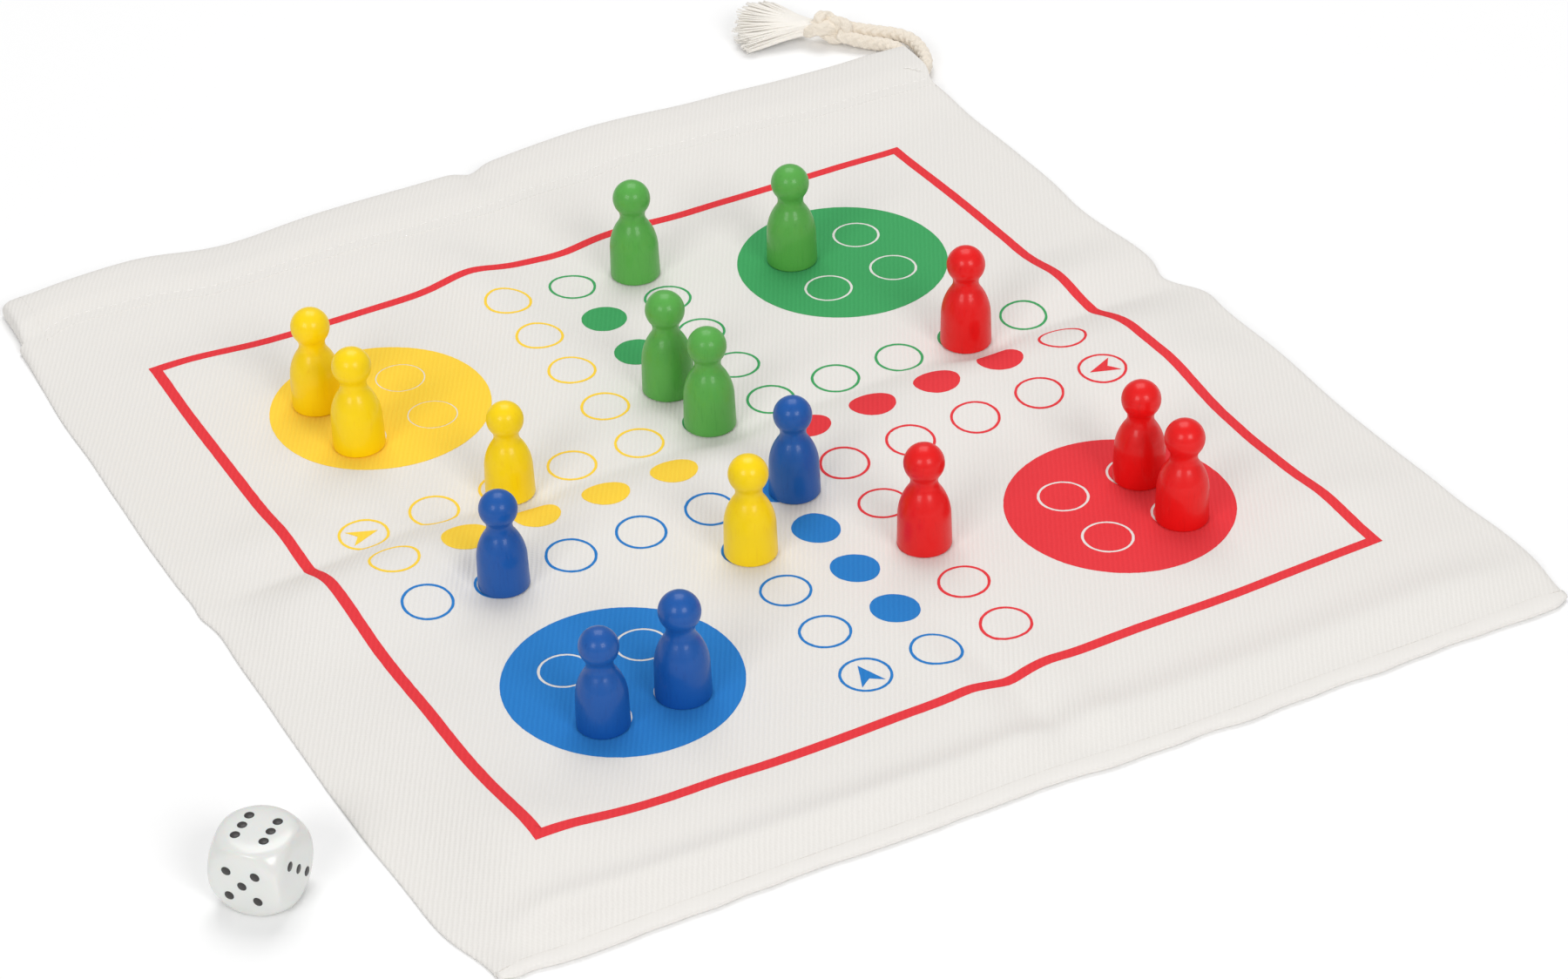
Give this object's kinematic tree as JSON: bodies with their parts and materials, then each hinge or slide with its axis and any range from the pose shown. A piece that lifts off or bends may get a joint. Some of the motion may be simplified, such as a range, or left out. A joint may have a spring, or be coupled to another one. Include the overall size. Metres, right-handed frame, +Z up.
{
  "type": "travel ludo game",
  "caption": "Flat cotton drawstring bag with a ludo board printed on one side, with turned wooden pawns standing on it and a die beside it.",
  "frame": {"origin": "under the middle of the printed board, on the flat underside that the bag rests on", "axes": "+X along the bag's mouth towards the end where the cord comes out, +Y from the bottom seam to the mouth, +Z up through the board"},
  "size_m": [0.2888, 0.3138, 0.029],
  "materials": {
    "cotton_twill": "matt unbleached-white cotton twill",
    "sewing_thread": "matt white thread",
    "cotton_cord": "matt soft twisted cotton cord",
    "red_ink": "matt screen-printed cloth",
    "yellow_ink": "matt screen-printed cloth",
    "green_ink": "matt screen-printed cloth",
    "blue_ink": "matt screen-printed cloth",
    "yellow_wood": "satin lacquered turned wood",
    "green_wood": "satin lacquered turned wood",
    "red_wood": "satin lacquered turned wood",
    "blue_wood": "satin lacquered turned wood",
    "die_white": "gloss white",
    "die_black": "matt black paint in the pips"
  },
  "bodies": {
    "bag": {"bag_back_panel": "cotton_twill", "bag_front_panel": "cotton_twill", "bag_left_side": "cotton_twill", "bag_right_side": "cotton_twill", "bag_bottom_seam": "cotton_twill", "bottom_seam_allowance": "cotton_twill", "side_seam_allowance": "cotton_twill", "back_casing": "cotton_twill", "front_casing": "cotton_twill", "casing_left_fold": "cotton_twill", "casing_stitching": "sewing_thread", "print_frame_line": "red_ink", "print_yellow": "yellow_ink", "print_green": "green_ink", "print_red": "red_ink", "print_blue": "blue_ink", "drawcord_left_turn": "cotton_cord"},
    "drawcord": {"drawcord_front_run": "cotton_cord", "drawcord_back_run": "cotton_cord", "cord_strand_upper": "cotton_cord", "cord_strand_lower": "cotton_cord", "cord_knot": "cotton_cord", "cord_tassel": "cotton_cord"},
    "yellow_pawn_1": {"pawn_yellow_1": "yellow_wood"},
    "yellow_pawn_2": {"pawn_yellow_2": "yellow_wood"},
    "yellow_pawn_3": {"pawn_yellow_3": "yellow_wood"},
    "yellow_pawn_4": {"pawn_yellow_4": "yellow_wood"},
    "green_pawn_1": {"pawn_green_1": "green_wood"},
    "green_pawn_2": {"pawn_green_2": "green_wood"},
    "green_pawn_3": {"pawn_green_3": "green_wood"},
    "green_pawn_4": {"pawn_green_4": "green_wood"},
    "red_pawn_1": {"pawn_red_1": "red_wood"},
    "red_pawn_2": {"pawn_red_2": "red_wood"},
    "red_pawn_3": {"pawn_red_3": "red_wood"},
    "red_pawn_4": {"pawn_red_4": "red_wood"},
    "blue_pawn_1": {"pawn_blue_1": "blue_wood"},
    "blue_pawn_2": {"pawn_blue_2": "blue_wood"},
    "blue_pawn_3": {"pawn_blue_3": "blue_wood"},
    "blue_pawn_4": {"pawn_blue_4": "blue_wood"},
    "loose_die": {"die": "die_white", "die_pips": "die_black"}
  },
  "joints": [
    {"name": "cord_pull", "type": "slide", "parent": "bag", "child": "drawcord", "axis": [1, 0, 0], "range_m": [0, 0.1]},
    {"name": "lift_yellow_pawn_1", "type": "slide", "parent": "bag", "child": "yellow_pawn_1", "axis": [0, 0, 1], "range_m": [0, 0.06]},
    {"name": "lift_yellow_pawn_2", "type": "slide", "parent": "bag", "child": "yellow_pawn_2", "axis": [0, 0, 1], "range_m": [0, 0.06]},
    {"name": "lift_yellow_pawn_3", "type": "slide", "parent": "bag", "child": "yellow_pawn_3", "axis": [0, 0, 1], "range_m": [0, 0.06]},
    {"name": "lift_yellow_pawn_4", "type": "slide", "parent": "bag", "child": "yellow_pawn_4", "axis": [0, 0, 1], "range_m": [0, 0.06]},
    {"name": "lift_green_pawn_1", "type": "slide", "parent": "bag", "child": "green_pawn_1", "axis": [0, 0, 1], "range_m": [0, 0.06]},
    {"name": "lift_green_pawn_2", "type": "slide", "parent": "bag", "child": "green_pawn_2", "axis": [0, 0, 1], "range_m": [0, 0.06]},
    {"name": "lift_green_pawn_3", "type": "slide", "parent": "bag", "child": "green_pawn_3", "axis": [0, 0, 1], "range_m": [0, 0.06]},
    {"name": "lift_green_pawn_4", "type": "slide", "parent": "bag", "child": "green_pawn_4", "axis": [0, 0, 1], "range_m": [0, 0.06]},
    {"name": "lift_red_pawn_1", "type": "slide", "parent": "bag", "child": "red_pawn_1", "axis": [0, 0, 1], "range_m": [0, 0.06]},
    {"name": "lift_red_pawn_2", "type": "slide", "parent": "bag", "child": "red_pawn_2", "axis": [0, 0, 1], "range_m": [0, 0.06]},
    {"name": "lift_red_pawn_3", "type": "slide", "parent": "bag", "child": "red_pawn_3", "axis": [0, 0, 1], "range_m": [0, 0.06]},
    {"name": "lift_red_pawn_4", "type": "slide", "parent": "bag", "child": "red_pawn_4", "axis": [0, 0, 1], "range_m": [0, 0.06]},
    {"name": "lift_blue_pawn_1", "type": "slide", "parent": "bag", "child": "blue_pawn_1", "axis": [0, 0, 1], "range_m": [0, 0.06]},
    {"name": "lift_blue_pawn_2", "type": "slide", "parent": "bag", "child": "blue_pawn_2", "axis": [0, 0, 1], "range_m": [0, 0.06]},
    {"name": "lift_blue_pawn_3", "type": "slide", "parent": "bag", "child": "blue_pawn_3", "axis": [0, 0, 1], "range_m": [0, 0.06]},
    {"name": "lift_blue_pawn_4", "type": "slide", "parent": "bag", "child": "blue_pawn_4", "axis": [0, 0, 1], "range_m": [0, 0.06]},
    {"name": "lift_die", "type": "slide", "parent": "bag", "child": "loose_die", "axis": [0, 0, 1], "range_m": [0, 0.06]}
  ]
}
